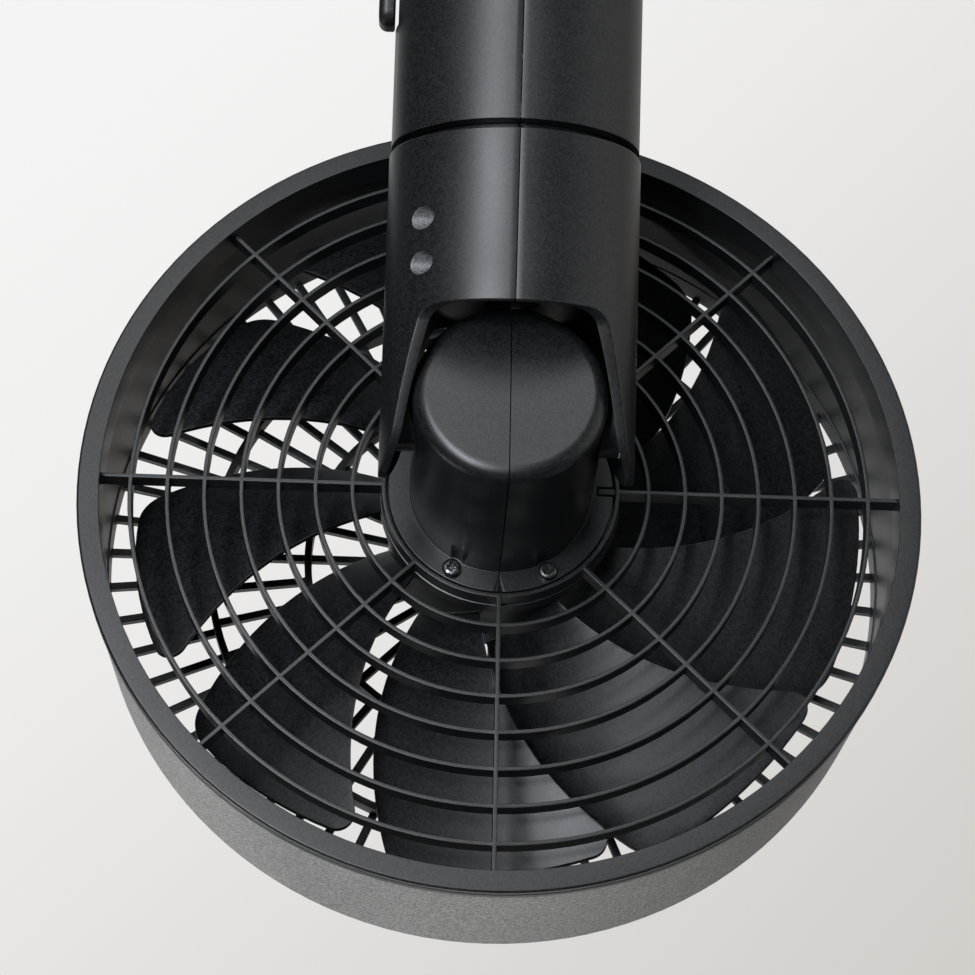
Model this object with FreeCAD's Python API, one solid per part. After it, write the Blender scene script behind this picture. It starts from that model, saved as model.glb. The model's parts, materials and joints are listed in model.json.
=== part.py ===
"""Track rail fan: a drum fan held in a yoke, which swings under a housing plugged into a ceiling track.

Millimetres, +Z up. The origin is the centre of the housing's top face, which meets the track.
The fan blows towards -Y. The head is drawn level with its pivot at the origin, then tilted and lowered.
"""
import FreeCAD, Part
import math
import os

from FreeCAD import Vector

# General
SEAM_GAP = 0.3              # open joint between two half shells
SLIP = 0.1                  # loose fit of a piece inside its seat
RUNNING = 0.05              # radial running clearance of a shaft or pin
AXIAL_PLAY = 0.3            # play along a turning axis

# Upper housing and top cap
HOUSING_STEP = 0.5          # housing set in from the yoke's outside
HOUSING_WALL = 2.6
HOUSING_LENGTH = 88.0
CAP_THICKNESS = 8.0
POCKET_MARGIN = 1.7         # pocket's edge beyond the latch hole
POCKET_DEPTH = 4.0
LIP_HEIGHT = 1.2
LIP_WIDTH = 1.5
CAP_SCREW_ANGLE = 45.0
CAP_BOSS_RADIUS = 4.0
CAP_BOSS_LENGTH = 14.0
CAP_BOSS_ROOT = 0.3         # boss sunk into the housing's wall

# Pan head screws, M3
SCREW_RADIUS = 1.5
SCREW_HEAD_RADIUS = 2.9
SCREW_HEAD_HEIGHT = 2.2
SCREW_HEAD_ROUND = 1.2
SCREW_CLEARANCE = 0.1       # hole around a shank
COUNTERBORE_CLEARANCE = 0.25
COUNTERBORE_DEPTH = 3.0
CROSS_WIDTH = 0.8
CROSS_LENGTH = 3.2
CROSS_DEPTH = 1.3

# Track plug
PLUG_NECK_LENGTH = 13.0
PLUG_NECK_WIDTH = 11.0
PLUG_WING_LENGTH = 12.0
PLUG_WING_WIDTH = 21.0
PLUG_WING_THICKNESS = 3.5
TRACK_LIP = 4.6             # space between the top face and the wings
PLUG_STEM_RADIUS = 5.0
PLUG_STEM_LENGTH = 5.0
CONTACT_LENGTH = 7.0
CONTACT_THICKNESS = 0.8
CONTACT_HEIGHT = 2.4

# Lock lever and latch
LEVER_TIP_RISE = 37.0       # lever tip above the housing's lower edge
LEVER_PIVOT_INSET = 8.6     # pivot from the housing's outside
LEVER_PIVOT_DROP = 18.0     # pivot below the top cap
LEVER_THICKNESS = 4.8
LEVER_WIDTH = 13.0
LEVER_TIP_ROUND = 4.5
LEVER_LIP_ROUND = 2.6       # outer edge of the lever's tip
LEVER_GAP = 1.2             # finger gap between lever and housing
LEVER_HUB = 4.0             # half height of the lever's pivot block
LEVER_PIN_RADIUS = 2.0
LEVER_RECESS = 0.9
FINGER_WIDTH = 5.0
FINGER_HEIGHT = 3.0
EAR_THICKNESS = 2.5
EAR_LENGTH = 7.0
LATCH_GAP = 1.7             # between the plug's neck and the latch hole
LATCH_DEPTH = 6.0
LATCH_WIDTH = 8.0
LATCH_TOP = 3.5
LATCH_FOOT = 5.0            # latch below its window
LATCH_PLAY = 0.9

# Swing drive
SWIVEL_PLATE_THICKNESS = 4.0
BUSH_WALL = 2.9
BUSH_FLANGE_WIDTH = 3.0
BUSH_FLANGE_THICKNESS = 2.0
SPINDLE_RADIUS = 10.0
SPINDLE_WALL = 3.0
SPINDLE_FLANGE_WIDTH = 6.0
SPINDLE_FLANGE_THICKNESS = 3.0
SPINDLE_END = 1.5           # spindle above its gear
SPINDLE_RING_WIDTH = 5.5
SPINDLE_RING_THICKNESS = 3.0
GEAR_TEETH = 36
PINION_TEETH = 12
DRIVE_GAP = 3.0             # pinion's teeth to the housing's wall
GEAR_ADDENDUM = 0.75
PINION_ADDENDUM = 1.0
TOOTH_DEDENDUM = 1.2
PRESSURE_ANGLE = 20.0
BACKLASH = 0.3
GEAR_THICKNESS = 5.0
SECTOR_TEETH = 15
GEAR_HUB_WALL = 3.0
BRACKET_GAP = 1.0           # between the spindle's end and the motor bracket
BRACKET_THICKNESS = 2.0
MOTOR_RADIUS = 14.0
MOTOR_HEIGHT = 19.0
MOTOR_SHAFT_OFFSET = 8.0
MOTOR_EAR_SPAN = 42.0
MOTOR_EAR_WIDTH = 7.0
MOTOR_EAR_THICKNESS = 1.0
MOTOR_NOSE_RADIUS = 4.5
MOTOR_SHAFT_RADIUS = 2.0
MOTOR_SHAFT_INSIDE = 6.0

# Control board
BOARD_TOP_GAP = 12.0        # board's top below the cap's screw bosses
BOARD_EDGE_GAP = 4.5        # board's edges to the housing's wall
BOARD_THICKNESS = 1.6
BOARD_Y = 18.0
BOARD_CAN_RADIUS = 5.0
BOARD_CAN_LENGTH = 11.0
BOARD_CAN_X = 13.0
BOARD_CAN_DROP = 10.5       # below the board's top
BOARD_BLOCK = 14.0
BOARD_BLOCK_RISE = 12.6     # above the board's foot

# Yoke
PIVOT_DROP = 80.0           # pivot below the housing's lower edge
YOKE_RADIUS = 37.1
YOKE_WALL = 2.6
GROOVE = 2.5                # open groove between housing and yoke
COLLAR_GAP = 1.5            # yoke's collar inside the housing's lip
YOKE_TOP_THICKNESS = 4.5
FLOOR_GAP = 0.6             # above the circle that the motor cover's cap sweeps
YOKE_FLOOR_THICKNESS = 2.5
WIRE_HOLE_RADIUS = 8.0
ARCH_DROP = 1.5             # arch's front edge below the yoke's floor
ARCH_SLOPE = 5.5            # arch's back edge below its front edge
ARCH_HALF_WIDTH = 26.5
ARCH_CORNER = 6.0
ARM_END_RADIUS = 17.6
YOKE_SCREW_INSET = 9.0      # inside the yoke's bore
YOKE_SCREW_RISE = 5.2       # lower screws above the yoke's floor
YOKE_SCREW_PITCH = 13.0
YOKE_SCREW_SEAT = 14.0      # screw's seat from the seam
YOKE_SCREW_LENGTH = 24.0
YOKE_BOSS_WALL = 1.2

# Tilt pivot
TILT = 17.7                 # head tilted down at rest
RIM_CLEARANCE = 2.9         # yoke to the rim's back face when the head is level
PAD_RISE = 1.6              # pad inside the yoke's bore
PAD_WALL = 4.5              # pad around the tilt bush
TILT_BOSS_RADIUS = 9.6
TILT_BOSS_RISE = 4.4        # boss outside the motor cover
TILT_WASHER = 0.5
TILT_PIN_RADIUS = 4.0
TILT_PIN_INSIDE = 3.3       # pin's end inside the motor cover's bore
TILT_SKIN = 0.9             # yoke left outside the tilt bush
TILT_BUSH_WALL = 1.4

# Motor cover
COVER_WALL = 2.2
COVER_REACH = 20.0          # cap behind the tilt pivot
COVER_FILLET = 4.5
FLANGE_WIDTH = 6.6
FLANGE_DEPTH = 4.5          # flange's back face in front of the rim's
FLANGE_THICKNESS = 2.5
COVER_SCREW_ANGLE = 27.6    # from the vertical
COVER_SCREW_LENGTH = 7.0
FLUTE_RADIUS = 4.0          # screwdriver's flute in the cover's wall behind each screw
FLUTE_LENGTH = 8.0
KEY_NOTCH_WIDTH = 3.0
KEY_NOTCH_DEPTH = 5.1
KEY_FIT = 0.4               # between the notch and the rear grille's key

# Rear grille
RIM_RADIUS = 129.0
RIM_CHAMFER = 0.6
RIM_PLATE = 2.0
RIM_GROOVE = 0.7
RIM_GROOVE_DEPTH = 1.2
RIM_BAND = 2.3              # rim between its groove and the shroud
RIM_COLLAR_FIT = 0.5        # collar inside the shroud
RIM_COLLAR_WALL = 2.6
RIM_COLLAR_LENGTH = 7.0
RIB_WIDTH = 1.3
RIB_BACK = 4.0              # ribs set in from the rim's back face
RIB_DEPTH = 6.0
SPOKES = 8
RINGS = 7
RING_END_GAP = 8.95         # first ring to the hub ring, and last ring to the rim
FLANGE_FIT = 0.6            # hub ring around the motor cover's flange
HUB_RING_WALL = 1.4
HUB_RING_STEP = 0.6         # wider in front of the hub plate
HUB_RING_LIP = 2.3          # hub ring in front of the motor bracket
HUB_PLATE_THICKNESS = 2.5
HUB_PLATE_LEDGE = 3.8       # plate inside the motor cover's bore

# Drum shroud
SHROUD_STEP = 0.4           # shroud's back edge inside the rim
SHROUD_TAPER = 1.1
SHROUD_WALL = 2.1
SHROUD_PARTING = 0.8
SHROUD_PARTING_DEPTH = 1.6
SHROUD_FRONT_ROUND = 0.8
SHROUD_REBATE = 0.8         # step in the bore that seats the front grille

# Front grille
GRILLE_GAP = 10.0           # from the impeller's nut to the bars
FRONT_RIM_DEPTH = 5.0       # inside the shroud
FRONT_RIM_WALL = 1.2
FRONT_BAR_WIDTH = 2.5
FRONT_BAR_DEPTH = 2.5
FRONT_BAR_RISE = 3.3        # bars' front in front of the shroud's edge
FRONT_RING_WIDTH = 2.3
FRONT_RING_DEPTH = 3.7      # behind the bars
FRONT_RING_INSETS = (64.2, 32.45)
FRONT_HUB_RADIUS = 26.0
FRONT_BAR_COUNTS = (32, 48, 64)
FRONT_CAP_INSET = 1.5
FRONT_CAP_THICKNESS = 2.0
FRONT_CAP_ROUND = 1.2

# Impeller
BLADES = 9
BLADE_TIP_GAP = 7.7         # inside the rear grille's rim
BLADE_SPAN = 35.1           # degrees from leading to trailing edge
BLADE_SWEEP = 0.357         # degrees of forward sweep per millimetre of radius
BLADE_PHASE = -1.75         # leading edge's angle at the hub
BLADE_SETBACK = 5.0         # leading edge in front of the hub's back edge
BLADE_DEPTH = 24.5
BLADE_CAMBER = 2.0          # bulge towards the rear, where the air comes in
BLADE_THICKNESS = 2.4
BLADE_LEAD_ROUND = 5.0
BLADE_TRAIL_ROUND = 12.0
BLADE_ROWS = 7              # rows of points along a blade's sheet
BLADE_COLUMNS = 9           # points across it
BLADE_OVERRUN = 0.15        # share of the span by which the sheet passes each edge
EDGE_POINTS = 6             # points along a leading or trailing edge
HUB_WALL = 3.5
HUB_FACE = 4.0
NUT_WALL = 3.0
NUT_LENGTH = 4.6
NUT_CAP = 1.4

# Fan motor
ROTOR_GAP = 3.5             # in front of the motor bracket
ROTOR_WALL = 1.4
ROTOR_RADIUS = 31.0
ROTOR_END_GAP = 4.0         # between the bearing tube and the rotor's face
MAGNET_WALL = 3.0
MAGNET_LENGTH = 16.0
AIR_GAP = 0.6
STATOR_SETBACK = 4.5        # in front of the rotor's back edge
STATOR_LENGTH = 12.0
STATOR_TEETH = 9
STATOR_TOOTH = 5.0
STATOR_YOKE = 4.5
STATOR_SHOE = 2.0
STATOR_SLOT = 3.0
WINDING_OVERHANG = 3.0
WINDING_THICKNESS = 1.8
WINDING_LENGTH = 7.0
MOTOR_BRACKET_THICKNESS = 2.5
BEARING_TUBE_WALL = 2.0
BEARING_TUBE_REACH = 6.0    # in front of the stator
BEARING_WALL = 3.0
BEARING_WIDTH = 5.0
BEARING_SETBACK = 1.5
SHAFT_RADIUS = 2.5
DRIVER_GAP = 1.0            # driver board inside the hub plate
DRIVER_BORE = 6.0
DRIVER_THICKNESS = 1.6
DRIVER_CHIPS = 3
DRIVER_CHIP = 6.0
DRIVER_CHIP_HEIGHT = 2.0

# Places up the housing, worked out from the sizes above
HOUSING_RADIUS = YOKE_RADIUS - HOUSING_STEP
HOUSING_BORE = HOUSING_RADIUS - HOUSING_WALL
HOUSING_FOOT = -(CAP_THICKNESS + HOUSING_LENGTH)
PIVOT_Z = HOUSING_FOOT - PIVOT_DROP
LIP_TOP = HOUSING_FOOT + LIP_HEIGHT
PLATE_TOP = LIP_TOP + SWIVEL_PLATE_THICKNESS
BUSH_TOP = PLATE_TOP + BUSH_FLANGE_THICKNESS
SPINDLE_RING_FOOT = BUSH_TOP + AXIAL_PLAY
GEAR_FOOT = SPINDLE_RING_FOOT + SPINDLE_RING_THICKNESS
GEAR_TOP = GEAR_FOOT + GEAR_THICKNESS
SPINDLE_TOP = GEAR_TOP + SPINDLE_END
BRACKET_FOOT = SPINDLE_TOP + BRACKET_GAP
BRACKET_TOP = BRACKET_FOOT + BRACKET_THICKNESS
CAP_BOSS_FOOT = -(CAP_THICKNESS + CAP_BOSS_LENGTH)
BOARD_TOP = CAP_BOSS_FOOT - BOARD_TOP_GAP
BOARD_HALF_WIDTH = math.sqrt((HOUSING_BORE - BOARD_EDGE_GAP) ** 2 - (BOARD_Y + BOARD_THICKNESS) ** 2)
SCREW_HOLE_RADIUS = SCREW_RADIUS + SCREW_CLEARANCE
COUNTERBORE_RADIUS = SCREW_HEAD_RADIUS + COUNTERBORE_CLEARANCE
CAP_SCREW_CIRCLE = HOUSING_BORE + CAP_BOSS_ROOT - CAP_BOSS_RADIUS
BUSH_RADIUS = SPINDLE_RADIUS + RUNNING + BUSH_WALL
GEAR_MODULE = (HOUSING_BORE - DRIVE_GAP) / (GEAR_TEETH / 2 + PINION_TEETH + PINION_ADDENDUM)
PINION_Y = -GEAR_MODULE * (GEAR_TEETH + PINION_TEETH) / 2
MOTOR_Y = PINION_Y + MOTOR_SHAFT_OFFSET
LATCH_X = PLUG_NECK_LENGTH / 2 + LATCH_GAP + AXIAL_PLAY + LATCH_DEPTH / 2
POCKET_RADIUS = LATCH_X + LATCH_DEPTH / 2 + AXIAL_PLAY + POCKET_MARGIN
LEVER_PIVOT_X = HOUSING_RADIUS - LEVER_PIVOT_INSET
LEVER_PIVOT_Z = -(CAP_THICKNESS + LEVER_PIVOT_DROP)
LEVER_TIP_Z = HOUSING_FOOT + LEVER_TIP_RISE
LEVER_FLAT_X = HOUSING_RADIUS - LEVER_RECESS
LEVER_INNER_X = LEVER_FLAT_X + LEVER_GAP
LEVER_OUTER_X = LEVER_INNER_X + LEVER_THICKNESS

# Places about the tilt pivot, with rises above it
YOKE_TOP = HOUSING_FOOT - GROOVE
YOKE_BORE = YOKE_RADIUS - YOKE_WALL
PIVOT_BACK = YOKE_RADIUS + RIM_CLEARANCE
BUSH_OUTER = TILT_PIN_RADIUS + RUNNING + TILT_BUSH_WALL
BUSH_END = math.sqrt(YOKE_RADIUS ** 2 - BUSH_OUTER ** 2) - TILT_SKIN / 2
TILT_PIN_END = BUSH_END - SLIP
PAD_RADIUS = BUSH_OUTER + PAD_WALL
PAD_FACE = YOKE_BORE - PAD_RISE
BOSS_END = PAD_FACE - TILT_WASHER
COVER_RADIUS = BOSS_END - TILT_BOSS_RISE
COVER_BORE = COVER_RADIUS - COVER_WALL
COVER_END = PIVOT_BACK + COVER_REACH
TILT_PIN_START = COVER_BORE - TILT_PIN_INSIDE
FLOOR_RISE = math.hypot(COVER_REACH, COVER_RADIUS) + FLOOR_GAP
ARCH_RISE_FRONT = FLOOR_RISE - ARCH_DROP
ARCH_RISE_BACK = ARCH_RISE_FRONT - ARCH_SLOPE
YOKE_SCREW_Y = YOKE_BORE - YOKE_SCREW_INSET
YOKE_BOSS_RADIUS = COUNTERBORE_RADIUS + YOKE_BOSS_WALL

# Places along the head's axis, in front of the rim's back face
FLANGE_RADIUS = COVER_RADIUS + FLANGE_WIDTH
COVER_SCREW_CIRCLE = COVER_RADIUS + FLANGE_WIDTH / 2
FLANGE_FRONT = FLANGE_DEPTH + FLANGE_THICKNESS
HUB_PLATE_FRONT = FLANGE_FRONT + HUB_PLATE_THICKNESS
HUB_PLATE_BORE = COVER_BORE - HUB_PLATE_LEDGE
MOTOR_PLATE_FRONT = HUB_PLATE_FRONT + MOTOR_BRACKET_THICKNESS
HUB_RING_BORE = FLANGE_RADIUS + FLANGE_FIT
HUB_RING_RADIUS = HUB_RING_BORE + HUB_RING_WALL
HUB_RING_FRONT = MOTOR_PLATE_FRONT + HUB_RING_LIP
HUB_START = MOTOR_PLATE_FRONT + ROTOR_GAP
STATOR_START = HUB_START + STATOR_SETBACK
BEARING_TUBE_END = STATOR_START + STATOR_LENGTH + BEARING_TUBE_REACH
ROTOR_END = BEARING_TUBE_END + ROTOR_END_GAP + ROTOR_WALL
IMPELLER_FRONT = ROTOR_END + HUB_FACE
NUT_FRONT = IMPELLER_FRONT + NUT_LENGTH
FRONT_BAR_BACK = NUT_FRONT + GRILLE_GAP
FRONT_BAR_FRONT = FRONT_BAR_BACK + FRONT_BAR_DEPTH
DRUM_DEPTH = FRONT_BAR_FRONT - FRONT_BAR_RISE
FRONT_RIM_BACK = DRUM_DEPTH - FRONT_RIM_DEPTH
BEARING_RADIUS = SHAFT_RADIUS + BEARING_WALL
BEARING_TUBE_RADIUS = BEARING_RADIUS + BEARING_TUBE_WALL
SHAFT_BACK = HUB_PLATE_FRONT + BEARING_SETBACK
MAGNET_OUTER = ROTOR_RADIUS - ROTOR_WALL
MAGNET_BORE = MAGNET_OUTER - MAGNET_WALL
STATOR_RADIUS = MAGNET_BORE - AIR_GAP
DRIVER_RADIUS = HUB_PLATE_BORE - DRIVER_GAP
BLADE_START = HUB_START + BLADE_SETBACK
HUB_RADIUS = ROTOR_RADIUS + HUB_WALL

# Radii from the rim inwards
RIM_FRONT = RIM_PLATE + RIM_GROOVE + RIM_BAND
SHROUD_BACK_RADIUS = RIM_RADIUS - SHROUD_STEP
SHROUD_FRONT_RADIUS = SHROUD_BACK_RADIUS - SHROUD_TAPER
SHROUD_BORE = SHROUD_FRONT_RADIUS - SHROUD_WALL
RIM_COLLAR_RADIUS = SHROUD_BORE - RIM_COLLAR_FIT
RIM_INNER = RIM_COLLAR_RADIUS - RIM_COLLAR_WALL
BLADE_TIP_RADIUS = RIM_INNER - BLADE_TIP_GAP
RING_FIRST = HUB_RING_RADIUS + RING_END_GAP
RING_PITCH = (RIM_INNER - RING_END_GAP - RING_FIRST) / (RINGS - 1)
SHROUD_REBATE_RADIUS = SHROUD_BORE + SHROUD_REBATE
FRONT_RIM_RADIUS = SHROUD_REBATE_RADIUS - SLIP
FRONT_RIM_BORE = FRONT_RIM_RADIUS - FRONT_RIM_WALL

FAR = 4 * RIM_RADIUS
DOWN = Vector(0, 0, -1)
X_AXIS = Vector(1, 0, 0)
Y_AXIS = Vector(0, 1, 0)
ORIGIN = Vector(0, 0, 0)

nodes = {}


def depth(s):
    """The head's Y at s millimetres in front of the rim's back face."""
    return -(PIVOT_BACK + s)


def box(x0, x1, y0, y1, z0, z1):
    return Part.makeBox(x1 - x0, y1 - y0, z1 - z0, Vector(x0, y0, z0))


def rod_z(radius, z0, z1, x=0.0, y=0.0):
    return Part.makeCylinder(radius, z1 - z0, Vector(x, y, z0))


def tube_z(outer, bore, z0, z1, x=0.0, y=0.0):
    return rod_z(outer, z0, z1, x, y).cut(rod_z(bore, z0, z1, x, y))


def rod_x(radius, x0, x1, y=0.0, z=0.0):
    return Part.makeCylinder(radius, x1 - x0, Vector(x0, y, z), X_AXIS)


def rod_head(radius, s0, s1, x=0.0, z=0.0):
    """A rod along the head's axis from depth s0 to s1."""
    return Part.makeCylinder(radius, s1 - s0, Vector(x, depth(s1), z), Y_AXIS)


def tube_head(outer, bore, s0, s1):
    return rod_head(outer, s0, s1).cut(rod_head(bore, s0, s1))


def turned(points):
    """A solid turned about the head's axis from (radius, depth) points."""
    corners = [Vector(r, depth(s), 0) for r, s in points]
    outline = Part.makePolygon(corners + corners[:1])
    return Part.Face(outline).revolve(ORIGIN, Y_AXIS, 360)


def half(shape, side):
    """The half of a shell on one side of the seam plane."""
    edge = SEAM_GAP / 2
    keep = box(edge, FAR, -FAR, FAR, -FAR, FAR)
    if side < 0:
        keep = box(-FAR, -edge, -FAR, FAR, -FAR, FAR)
    return shape.common(keep)


def polar(radius, degrees):
    angle = math.radians(degrees)
    return radius * math.cos(angle), radius * math.sin(angle)


def on_head(shape):
    """Tilt a head piece about the pivot and lower it to its place."""
    placed = shape.copy()
    placed.rotate(ORIGIN, X_AXIS, TILT)
    placed.translate(Vector(0, 0, PIVOT_Z))
    return placed


def screw(length):
    """A pan head cross screw pointing down, head underside at the origin."""
    head = rod_z(SCREW_HEAD_RADIUS, 0, SCREW_HEAD_HEIGHT)
    rim = head.Edges[0] if head.Edges[0].CenterOfMass.z > 0 else head.Edges[2]
    head = head.makeFillet(SCREW_HEAD_ROUND, [rim])
    arm, width = CROSS_LENGTH / 2, CROSS_WIDTH / 2
    z0 = SCREW_HEAD_HEIGHT - CROSS_DEPTH
    cross = box(-arm, arm, -width, width, z0, SCREW_HEAD_HEIGHT)
    cross = cross.fuse(box(-width, width, -arm, arm, z0, SCREW_HEAD_HEIGHT))
    return head.fuse(rod_z(SCREW_RADIUS, -length, 0)).cut(cross).removeSplitter()


def aimed(shape, point, direction):
    """Turn a piece that points down so that it points along a direction, and move it to a point."""
    placed = shape.copy()
    turn = FreeCAD.Rotation(DOWN, Vector(*direction))
    placed.Placement = FreeCAD.Placement(Vector(*point), turn)
    return placed


# Top cap with its pocket, screw holes, latch hole and lever ears
def cap_screw_places():
    quarters = [CAP_SCREW_ANGLE + 90 * i for i in range(4)]
    return [polar(CAP_SCREW_CIRCLE, a) for a in quarters]


def top_cap():
    cap = rod_z(HOUSING_RADIUS, -CAP_THICKNESS, 0)
    cap = cap.cut(rod_z(POCKET_RADIUS, -POCKET_DEPTH, 0))
    cap = cap.cut(rod_z(PLUG_STEM_RADIUS + SLIP, -CAP_THICKNESS, 0))
    reach_x, reach_y = LATCH_DEPTH / 2 + AXIAL_PLAY, LATCH_WIDTH / 2 + AXIAL_PLAY
    cap = cap.cut(box(LATCH_X - reach_x, LATCH_X + reach_x, -reach_y, reach_y, -CAP_THICKNESS, 0))
    for x, y in cap_screw_places():
        cap = cap.cut(rod_z(COUNTERBORE_RADIUS, -COUNTERBORE_DEPTH, 0, x, y))
        cap = cap.cut(rod_z(SCREW_HOLE_RADIUS, -CAP_THICKNESS, 0, x, y))
    inside = LEVER_WIDTH / 2 + AXIAL_PLAY
    outside = inside + EAR_THICKNESS
    ear_x0, ear_x1 = LEVER_PIVOT_X - EAR_LENGTH / 2, LEVER_PIVOT_X + EAR_LENGTH / 2
    ear_foot = LEVER_PIVOT_Z - LEVER_HUB
    for y0, y1 in ((-outside, -inside), (inside, outside)):
        cap = cap.fuse(box(ear_x0, ear_x1, y0, y1, ear_foot, -CAP_THICKNESS))
    pin_hole = Part.makeCylinder(LEVER_PIN_RADIUS, FAR, lever_point(-FAR / 2), Y_AXIS)
    return cap.cut(pin_hole).removeSplitter()


def lever_point(y):
    return Vector(LEVER_PIVOT_X, y, LEVER_PIVOT_Z)


def track_plug():
    neck_x, neck_y = PLUG_NECK_LENGTH / 2, PLUG_NECK_WIDTH / 2
    wing_x, wing_y = PLUG_WING_LENGTH / 2, PLUG_WING_WIDTH / 2
    neck = box(-neck_x, neck_x, -neck_y, neck_y, -POCKET_DEPTH, TRACK_LIP)
    wings = box(-wing_x, wing_x, -wing_y, wing_y, TRACK_LIP, TRACK_LIP + PLUG_WING_THICKNESS)
    stem = rod_z(PLUG_STEM_RADIUS, -POCKET_DEPTH - PLUG_STEM_LENGTH, -POCKET_DEPTH)
    return neck.fuse([wings, stem]).removeSplitter()


def contact_blades():
    x, y = CONTACT_LENGTH / 2, PLUG_WING_WIDTH / 2
    middle = TRACK_LIP + PLUG_WING_THICKNESS / 2
    z0, z1 = middle - CONTACT_HEIGHT / 2, middle + CONTACT_HEIGHT / 2
    near = box(-x, x, -y - CONTACT_THICKNESS, -y, z0, z1)
    far = box(-x, x, y, y + CONTACT_THICKNESS, z0, z1)
    return Part.makeCompound([near, far])


def cap_screws():
    shank = CAP_THICKNESS - COUNTERBORE_DEPTH + CAP_BOSS_LENGTH / 2
    one = screw(shank)
    return Part.makeCompound(
        [aimed(one, (x, y, -COUNTERBORE_DEPTH), (0, 0, -1)) for x, y in cap_screw_places()]
    )


# Housing shells, with ledges for the swivel plate and the swing motor's bracket
def housing_shells():
    shell = tube_z(HOUSING_RADIUS, HOUSING_BORE, HOUSING_FOOT, -CAP_THICKNESS)
    ledge = HOUSING_BORE - LIP_WIDTH
    shell = shell.fuse(tube_z(HOUSING_RADIUS, ledge, HOUSING_FOOT, LIP_TOP))
    shell = shell.fuse(tube_z(HOUSING_RADIUS, ledge, BRACKET_FOOT - LIP_HEIGHT, BRACKET_FOOT))
    for x, y in cap_screw_places():
        shell = shell.fuse(rod_z(CAP_BOSS_RADIUS, CAP_BOSS_FOOT, -CAP_THICKNESS, x, y))
    for x, y in cap_screw_places():
        shell = shell.cut(rod_z(SCREW_RADIUS, CAP_BOSS_FOOT, -CAP_THICKNESS, x, y))
    recess_foot = LEVER_TIP_Z - LEVER_RECESS
    shell = shell.cut(box(LEVER_FLAT_X, FAR, -LEVER_WIDTH, LEVER_WIDTH, recess_foot, -CAP_THICKNESS))
    side = LEVER_WIDTH / 2 + AXIAL_PLAY
    rise = LEVER_HUB * 2
    shell = shell.cut(box(0, FAR, -side, side, LEVER_PIVOT_Z - rise, LEVER_PIVOT_Z + rise))
    shell = shell.removeSplitter()
    return half(shell, 1), half(shell, -1)


def lock_lever():
    side = LEVER_WIDTH / 2
    paddle = box(LEVER_INNER_X, LEVER_OUTER_X, -side, side, LEVER_TIP_Z, LEVER_PIVOT_Z + LEVER_HUB)
    corners = [e for e in paddle.Edges if abs(e.Length - LEVER_THICKNESS) < SLIP]
    tips = [e for e in corners if e.CenterOfMass.z < LEVER_TIP_Z + SLIP]
    paddle = paddle.makeFillet(LEVER_TIP_ROUND, tips)
    outside = [e for e in paddle.Edges if abs(e.CenterOfMass.x - LEVER_OUTER_X) < SLIP]
    lip = [e for e in outside if e.CenterOfMass.z < LEVER_TIP_Z + LEVER_TIP_ROUND]
    paddle = paddle.makeFillet(LEVER_LIP_ROUND, lip)
    hub_x = LEVER_PIVOT_X - LEVER_HUB
    z0, z1 = LEVER_PIVOT_Z - LEVER_HUB, LEVER_PIVOT_Z + LEVER_HUB
    lever = paddle.fuse(box(hub_x, LEVER_OUTER_X, -side, side, z0, z1))
    finger_x = LATCH_X - LATCH_DEPTH / 2
    width, height = FINGER_WIDTH / 2, FINGER_HEIGHT / 2
    finger = box(finger_x, hub_x + SLIP, -width, width, LEVER_PIVOT_Z - height, LEVER_PIVOT_Z + height)
    hole = Part.makeCylinder(LEVER_PIN_RADIUS + RUNNING, FAR, lever_point(-FAR / 2), Y_AXIS)
    return lever.fuse(finger).cut(hole).removeSplitter()


def lever_pin():
    reach = LEVER_WIDTH / 2 + AXIAL_PLAY + EAR_THICKNESS
    return Part.makeCylinder(LEVER_PIN_RADIUS, 2 * reach, lever_point(-reach), Y_AXIS)


def lock_latch():
    reach_x, reach_y = LATCH_DEPTH / 2, LATCH_WIDTH / 2
    window = FINGER_HEIGHT / 2 + LATCH_PLAY
    foot = LEVER_PIVOT_Z - window - LATCH_FOOT
    bar = box(LATCH_X - reach_x, LATCH_X + reach_x, -reach_y, reach_y, foot, LATCH_TOP)
    side = FINGER_WIDTH / 2 + AXIAL_PLAY
    slot = box(0, FAR, -side, side, LEVER_PIVOT_Z - window, LEVER_PIVOT_Z + window)
    return bar.cut(slot)


# Swing drive: plate, bush, spindle, sector gear, pinion and motor
def swivel_plate():
    return tube_z(HOUSING_BORE - SLIP, BUSH_RADIUS, LIP_TOP, PLATE_TOP)


def swivel_bush():
    bore = SPINDLE_RADIUS + RUNNING
    body = rod_z(BUSH_RADIUS, LIP_TOP, PLATE_TOP)
    flange = rod_z(BUSH_RADIUS + BUSH_FLANGE_WIDTH, PLATE_TOP, BUSH_TOP)
    return body.fuse(flange).cut(rod_z(bore, LIP_TOP, BUSH_TOP)).removeSplitter()


def swivel_spindle():
    flange_top = YOKE_TOP - YOKE_TOP_THICKNESS
    flange_foot = flange_top - SPINDLE_FLANGE_THICKNESS
    flange = rod_z(SPINDLE_RADIUS + SPINDLE_FLANGE_WIDTH, flange_foot, flange_top)
    stem = rod_z(SPINDLE_RADIUS, flange_top, SPINDLE_TOP)
    bore = rod_z(SPINDLE_RADIUS - SPINDLE_WALL, flange_foot, SPINDLE_TOP)
    return flange.fuse(stem).cut(bore).removeSplitter()


def spindle_ring():
    return tube_z(SPINDLE_RADIUS + SPINDLE_RING_WIDTH, SPINDLE_RADIUS, SPINDLE_RING_FOOT, GEAR_FOOT)


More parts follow.
